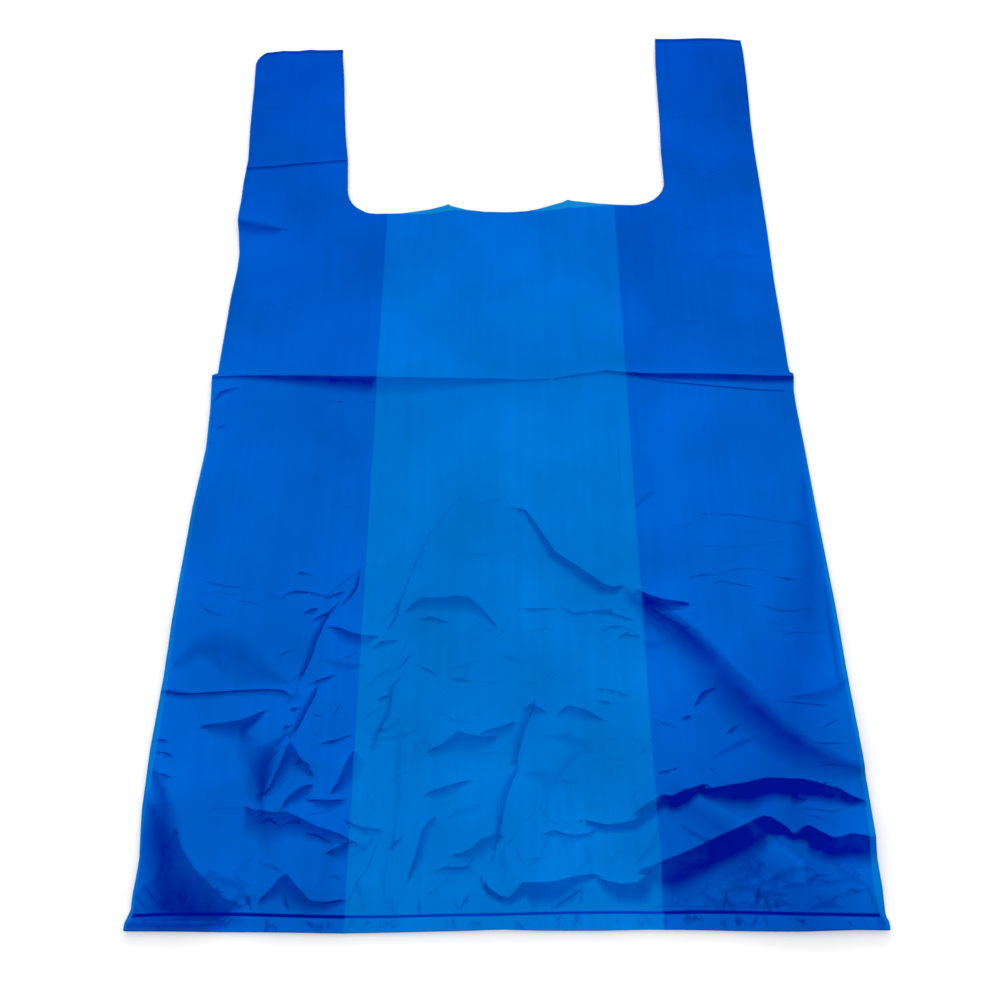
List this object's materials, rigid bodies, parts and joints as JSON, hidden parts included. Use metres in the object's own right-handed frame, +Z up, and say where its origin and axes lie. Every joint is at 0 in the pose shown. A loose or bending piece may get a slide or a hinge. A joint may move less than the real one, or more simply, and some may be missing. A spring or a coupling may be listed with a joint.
{
  "type": "t-shirt bag",
  "caption": "Blue plastic film carrier bag with side gussets, welded bottom and loop handles, empty and lying flat with soft creases.",
  "frame": {"origin": "on the table, under the middle of the lying bag", "axes": "+Y along the bag from the bottom weld to the handles, +X across it to the right, +Z up off the table"},
  "size_m": [0.3097, 0.545, 0.0077],
  "materials": {
    "film": "thin blue high-density film, satin, slightly see-through"
  },
  "bodies": {
    "root": {"bag": "film"}
  },
  "joints": []
}
